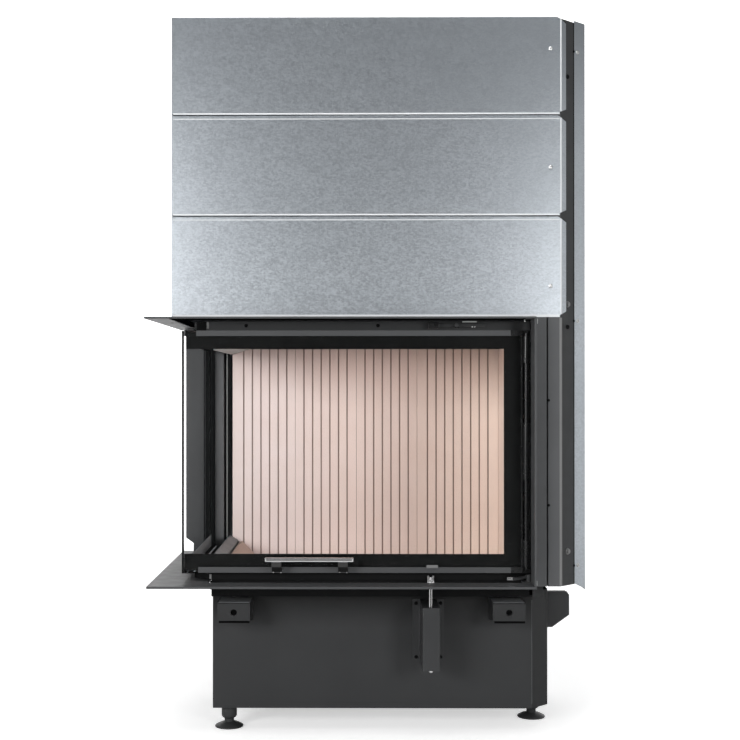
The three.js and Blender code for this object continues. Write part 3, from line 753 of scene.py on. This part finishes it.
def add_leaf_trim():
    """The black ends of the leaf's two rails at the hinge, and the catch on the lower one."""
    ends = [block((278.5, -260.9, z0), (301.5, -257.7, z1)) for z0, z1 in RAIL_END_Z]
    piece("rail_ends", *joined(ends), GLOSS_BLACK, "door_leaf", "beam_steel", 0.4)
    rail = span("door_rail_lower")[0].y
    catch = block((113.3, rail - 0.8, 350), (135.5, rail + 0.2, 356))
    piece("catch_plate", *catch, PALE_AND_HIGHLIGHT_PAINT, "door_leaf", "beam_steel", 0.3)


def add_beam_end():
    """The black left end of the frame's upper beam."""
    low, high = span("frame_beam_upper")
    end = block((-340, low.y - 0.4, low.z + 0.3), (-321, low.y + 0.2, high.z - 0.3))
    piece("beam_end", *end, BLACK_PAINT, "door_frame", "beam_steel", 0.1)


def add_handle_parts():
    low, high = span("handle")
    # Painted reflection: the dark band along the bar.
    inlay = block((low.x + 2.5, low.y - 0.3, 368.3), (high.x - 2.5, low.y + 0.3, 371.8))
    piece("handle_dark_reflection", *inlay, HANDLE_REFLECTION_METAL, "door_leaf", "stainless", 0.2)
    rail = span("door_rail_lower")[0].y
    dots = [((x, rail, 341.4), FRONT) for x in HANDLE_SCREWS_X]
    fasteners("handle_screws", disc(1.2, 0.9), dots, STAINLESS, "door_leaf", "stainless")


def add_lock_parts():
    low, high = span("lock_bar")
    front = low.y
    steel = ("lock_bar", "beam_steel")
    pins = [((x, front, 821.6), FRONT) for x in (171, 175.6)]
    fasteners("lock_pins", disc(1.3, 0.8), pins, BLACK_PAINT, *steel)
    rivets = [((x, front, 822.6), FRONT) for x in (203.2, 208.1)]
    fasteners("lock_rivets", disc(1.4, 0.7), rivets, STAINLESS, *steel)
    plate = block((184.4, front + 1, high.z - 0.1), (212.1, front + 9, high.z + 2))
    piece("lock_plate", *plate, DULL_SHEET, *steel, 0.3)
    end = block((117.9, front - 0.6, 820.6), (137.1, front + 0.3, 831.4))
    piece("lock_end", *end, GLOSS_BLACK, *steel, 0.3)


# ---- small parts of the casing --------------------------------------------------------------
COLUMN_FOOT, COLUMN_TOP = 316, 1424
TRIM_Z = 840  # top of the upper trim plate


def on_both_columns(outline, z0, z1):
    """An upright bar on the right column, with its mirror image on the rear one."""
    mirrored = [to_rear((x, y, 0))[:2] for x, y in outline][::-1]
    return joined([prism(outline, z0, z1), prism(mirrored, z0, z1)])


def add_rear_gap_shades():
    """Painted shade: dark strips in the gaps beside the rear stile, seen through the side glass."""
    column = span("column_rear")[0].y
    strips = [block((x, 213.5, 324), (x + 8.1, column - 0.2, 832)) for x in (-374.5, -361.7)]
    strips.append(block((-329.5, 206, 326), (-315, 208, 800)))
    piece("rear_gap_shades", *joined(strips), BLACK_PAINT, "insert", "steel", 0.3)
    line = block((-324.4, 205.2, 326), (-322.4, 206, 800))
    piece("rear_line", *line, DULL_SHEET, "insert", "steel", 0.2)


def add_column_edges():
    """Painted shade in the seam at the side cover and a painted highlight on the bend beside the door."""
    # Painted shade of the seam.
    seam = [(404.2, -244.7), (406.2, -242.7), (405.5, -242), (403.5, -244)]
    seams = on_both_columns(seam, COLUMN_FOOT, COLUMN_TOP)
    piece("column_seam_shades", *seams, BLACK_PAINT, "insert", "steel", 0.1)
    # Painted highlight on the rounded bend.
    bend = [(371.6, -275.6), (374.6, -275.9), (377, -273.6), (376.6, -273), (374, -275)]
    bends = on_both_columns(bend, COLUMN_FOOT + 0.4, TRIM_Z)
    piece("column_bend_highlights", *bends, PALE_AND_HIGHLIGHT_PAINT, "insert", "steel")


def add_gaps():
    """Plates that close the gaps round the tray, under the trim plate and behind the door's right end.

    Those round the tray, under the trim plate and under the left cover's fold are painted shade.
    """
    notch = [(335, -143.6), (372.3, -106.6), (372.3, -60), (349.5, -60), (349.5, -143)]
    gaps = [
        block((-316.6, -215.2, 300), (-313.9, -214.4, 317.7)),
        block((-384, -323.5, 835.6), (300, -272, 836.1)),
        prism(notch, 285.05, 285.85),
    ]
    # Painted shade: black in the gaps, where shade falls.
    piece("base_gap_shades", *joined(gaps), GAP_SHADE, "insert", "steel")
    # Painted shade on the tray's right end.
    tray_end = block((327, -215, 286.5), (348.4, -214.1, 316))
    piece("tray_end", *tray_end, SHADED_PAINT, "insert", "steel", 0.2)
    jamb = block((306, -181.4, 292), (345.4, -178.6, 795))
    piece("right_jamb", *jamb, BLACK_PAINT, "insert", "steel", 0.3)
    # Painted shade: a black strip under the left cover's fold.
    cover = span("cover_left")[0]
    seal = block((cover.x - 0.8, -276, 838.8), (-368.3, 217, TRIM_Z + 0.1))
    piece("cover_fold_shade", *seal, GAP_SHADE, "insert", "steel", 0.2)


def add_cover_edges():
    """Painted highlights: the bright lines of the sheets' folded edges, below, under the upper fold and down
    the right side.
    """
    right = 372
    lines = []
    for k in (1, 2, 3):
        low, high = span(f"cover_front_{k}")
        left, y = low.x + 3, low.y
        fold = 3 if k > 1 else 5
        lines.append(block((left, y - 0.15, low.z + 0.1), (right, y + 0.4, low.z + fold)))
        if k < 3:
            lines.append(block((left, y - 0.1, high.z - 8.2), (right, y + 0.4, high.z - 6.6)))
        side = [(373.2, y - 0.15), (374.8, y - 0.1), (376.5, y + 1.4), (376, y + 1.9), (373.2, y + 0.3)]
        lines.append(prism(side, low.z + 6, high.z - 6))
    piece("cover_edge_highlights", *joined(lines), ZINC_EDGE_HIGHLIGHT, "insert", "galvanised")


def add_deflector():
    """The sloped sheet under the left end of the ceiling stone."""
    outline = [(-312.4, 779), (-270, 792.2), (-270, 794.7), (-312.4, 782)]
    body = ringed([[(x, y, z) for x, z in outline] for y in (-190, 203.5)])
    piece("deflector", *body, DULL_SHEET, "insert", "steel", 0.3)


def add_brackets():
    """Painted light on the upper face, and painted shade under the front face and over the bore, of both
    support brackets.
    """
    front = span("base_front")[0].y
    cap_lights, slots = [], []
    for name in ("bracket_left", "bracket_right"):
        low, high = span(name)
        # Painted light on the upper face.
        cap_lights.append(block((low.x + 1, low.y + 5, high.z - 0.1), (high.x - 1, front - 0.5, high.z + 0.6)))
        # Painted shade: a black line under the front face.
        slots.append(block((low.x + 3, low.y - 0.2, high.z - 39.6), (high.x - 1, low.y + 0.4, high.z - 35.6)))
    piece("bracket_cap_lights", *joined(cap_lights), CAP_LIGHT_PAINT, "insert", "steel", 0.2)
    piece("bracket_under_shades", *joined(slots), GAP_SHADE, "insert", "steel", 0.1)
    # Painted shade over the bores.
    holes = [((-268.5, -223, 256.9), FRONT), ((279.2, -223, 258), FRONT)]
    fasteners("bracket_bore_shades", disc(6.3, 1.0), holes, GAP_SHADE, "insert", "steel")


def add_base_details():
    front = span("base_front")[0].y
    # Painted highlight on the fold.
    fold = block((334.6, front - 0.4, 55), (336, front + 0.2, 268))
    piece("base_fold_highlight", *fold, STRIP_PAINT, "insert", "steel")
    bead = [(278.8 + 2 * k, front - 0.3, 280.4 + 0.4 * (k % 2)) for k in range(5)]
    piece("weld_bead", *tube(bead, 1.3, 10), PAINT, "insert", "steel")
    housing = span("damper_housing")[0]
    under = [((122.3, housing.y + 3, housing.z), DOWN)]
    fasteners("damper_bolt", hex_head(3.4, 1.3), under, *PLATED)
    trim = span("trim_upper")[0].z
    # Painted shade over a hole under the upper trim plate.
    fasteners("trim_hole_shade", disc(3.2, 0.4), [((-401.3, -152, trim), DOWN)], GAP_SHADE, "insert", "steel")


def add_column_notches():
    """The small bright cuts at both ends of the right column's strip."""
    column = span("column_right")[0].y
    notches = [
        block((328.2, column - 0.5, 828), (329.6, column + 0.3, 838)),
        block((327, column - 0.5, 318), (328.2, column + 0.3, 327)),
    ]
    piece("column_notches", *joined(notches), DULL_SHEET, "insert", "steel", 0.1)


def add_lever_parts():
    lever = span("air_lever")[0]
    tip = block((lever.x + 0.6, lever.y - 0.4, 325.2), (lever.x + 11, lever.y + 1, 331.5))
    piece("lever_tip", *tip, STAINLESS, "air_lever", "stainless", 0.3)
    rod = span("damper_rod")[0]
    inlay = block((120.9, rod.y - 0.2, 258), (123.3, rod.y + 0.4, 315))
    piece("rod_inlay", *inlay, BLACK_PAINT, "damper_rod", "stainless", 0.1)


# ---- ropes ----------------------------------------------------------------------------------
AXLE_X, AXLE_Z = 350, 1375  # the right pulley's centre
ROPE_REACH = 39.9  # from there to the middle of the rope
ROPE = 1.5  # half its thickness


def add_ropes():
    """The rope over each pulley, its run down to the counterweight and the clamp there."""
    y = span("rope_right")[0].y + 1.6
    weight = span("counterweight_right")[1].z
    half_turn = [math.pi * k / 24 for k in range(25)]
    arc = [(AXLE_X - ROPE_REACH * math.cos(a), y, AXLE_Z + ROPE_REACH * math.sin(a)) for a in half_turn]
    heights = [AXLE_Z - k * (AXLE_Z - weight + 4) / 12 for k in range(13)]
    for side, place in (("right", tuple), ("rear", to_rear)):
        over = [place(p) for p in arc]
        piece("rope_over_" + side, *tube(over, ROPE), STAINLESS, "insert", "rope")
        x, y_run = over[-1][:2]
        run_path = [(x, y_run, z) for z in heights]
        run = piece("rope_run_" + side, *tube(run_path, ROPE), STAINLESS, None, "rope")
        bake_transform(run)
        clamp = lathe([(4, -0.5), (4, 12), (3, 13), (1.6, 13)], 20)
        shape = facing((x, y_run, weight), UP, clamp)
        piece("rope_clamp_" + side, *shape, BOLT_ZINC, "counterweight_" + side, "rope")


make_camera()
make_studio()
dress_nodes()
add_fasteners()
add_damper_screws()
add_prints()
add_door_trim()
add_leaf_trim()
add_beam_end()
add_handle_parts()
add_lock_parts()
add_rear_gap_shades()
add_column_edges()
add_gaps()
add_cover_edges()
add_deflector()
add_brackets()
add_base_details()
add_column_notches()
add_lever_parts()
add_ropes()
